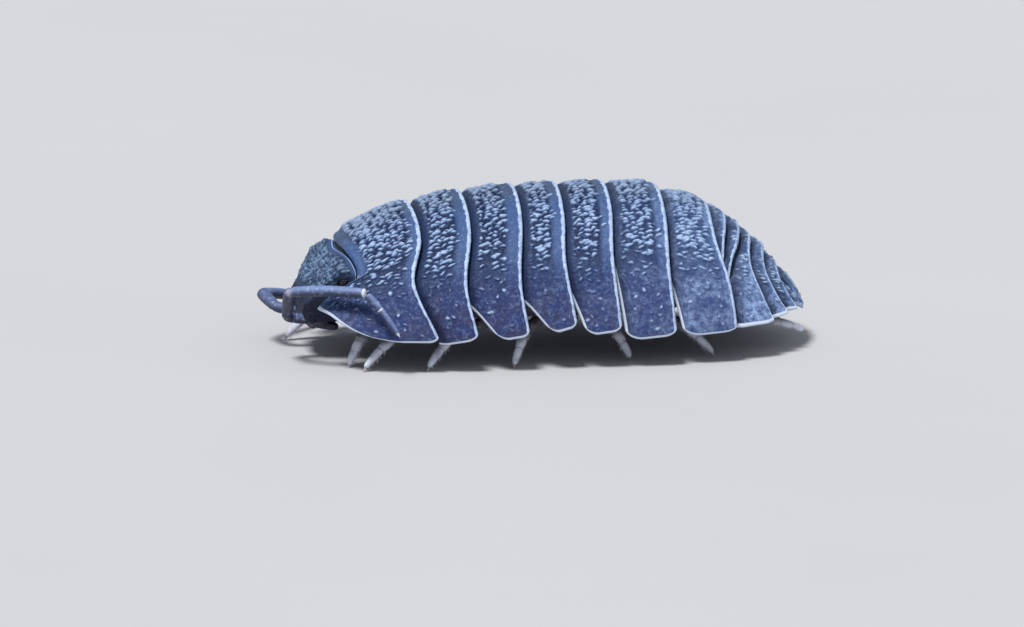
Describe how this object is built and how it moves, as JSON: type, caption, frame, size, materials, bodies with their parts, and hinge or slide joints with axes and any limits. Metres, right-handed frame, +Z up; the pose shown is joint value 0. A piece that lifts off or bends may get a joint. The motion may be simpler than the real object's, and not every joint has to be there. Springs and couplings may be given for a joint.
{
  "type": "pill woodlouse",
  "caption": "Life-size still model of a walking pill woodlouse: arched slate shell of overlapping plates, elbowed feelers, and pale legs that stand on small flat feet.",
  "frame": {"origin": "on the floor, below the centre of the whole model's box, feelers and feet included", "axes": "+X towards the tail, so the head faces -X; +Y towards the animal's right side; +Z up"},
  "size_m": [0.0174, 0.0084, 0.0053],
  "materials": {
    "shell": "granulated slate-blue shell with a soft sheen, paler hind margins and lilac-brown flaps",
    "feeler": "lilac-grey horn with whitish joints",
    "limb": "translucent whitish horn, faintly speckled",
    "underside": "soft pale grey skin",
    "eye": "black, made of small beads"
  },
  "bodies": {
    "root": {"head": "shell", "pereonite_1": "shell", "pereonite_2": "shell", "pereonite_3": "shell", "pereonite_4": "shell", "pereonite_5": "shell", "pereonite_6": "shell", "pereonite_7": "shell", "pleonite_1": "shell", "pleonite_2": "shell", "pleonite_3": "shell", "pleonite_4": "shell", "pleonite_5": "shell", "telson": "shell", "uropod_left": "shell", "uropod_right": "shell", "antenna_base_left": "feeler", "antenna_base_right": "feeler", "antenna_long_left": "feeler", "antenna_long_right": "feeler", "antenna_tip_left": "feeler", "antenna_tip_right": "feeler", "leg_left_1": "limb", "leg_left_2": "limb", "leg_left_3": "limb", "leg_left_4": "limb", "leg_left_5": "limb", "leg_left_6": "limb", "leg_left_7": "limb", "leg_right_1": "limb", "leg_right_2": "limb", "leg_right_3": "limb", "leg_right_4": "limb", "leg_right_5": "limb", "leg_right_6": "limb", "leg_right_7": "limb", "belly": "underside", "pleopods_left": "underside", "pleopods_right": "underside", "mouthparts": "underside", "eye_left": "eye", "eye_right": "eye"}
  },
  "joints": []
}
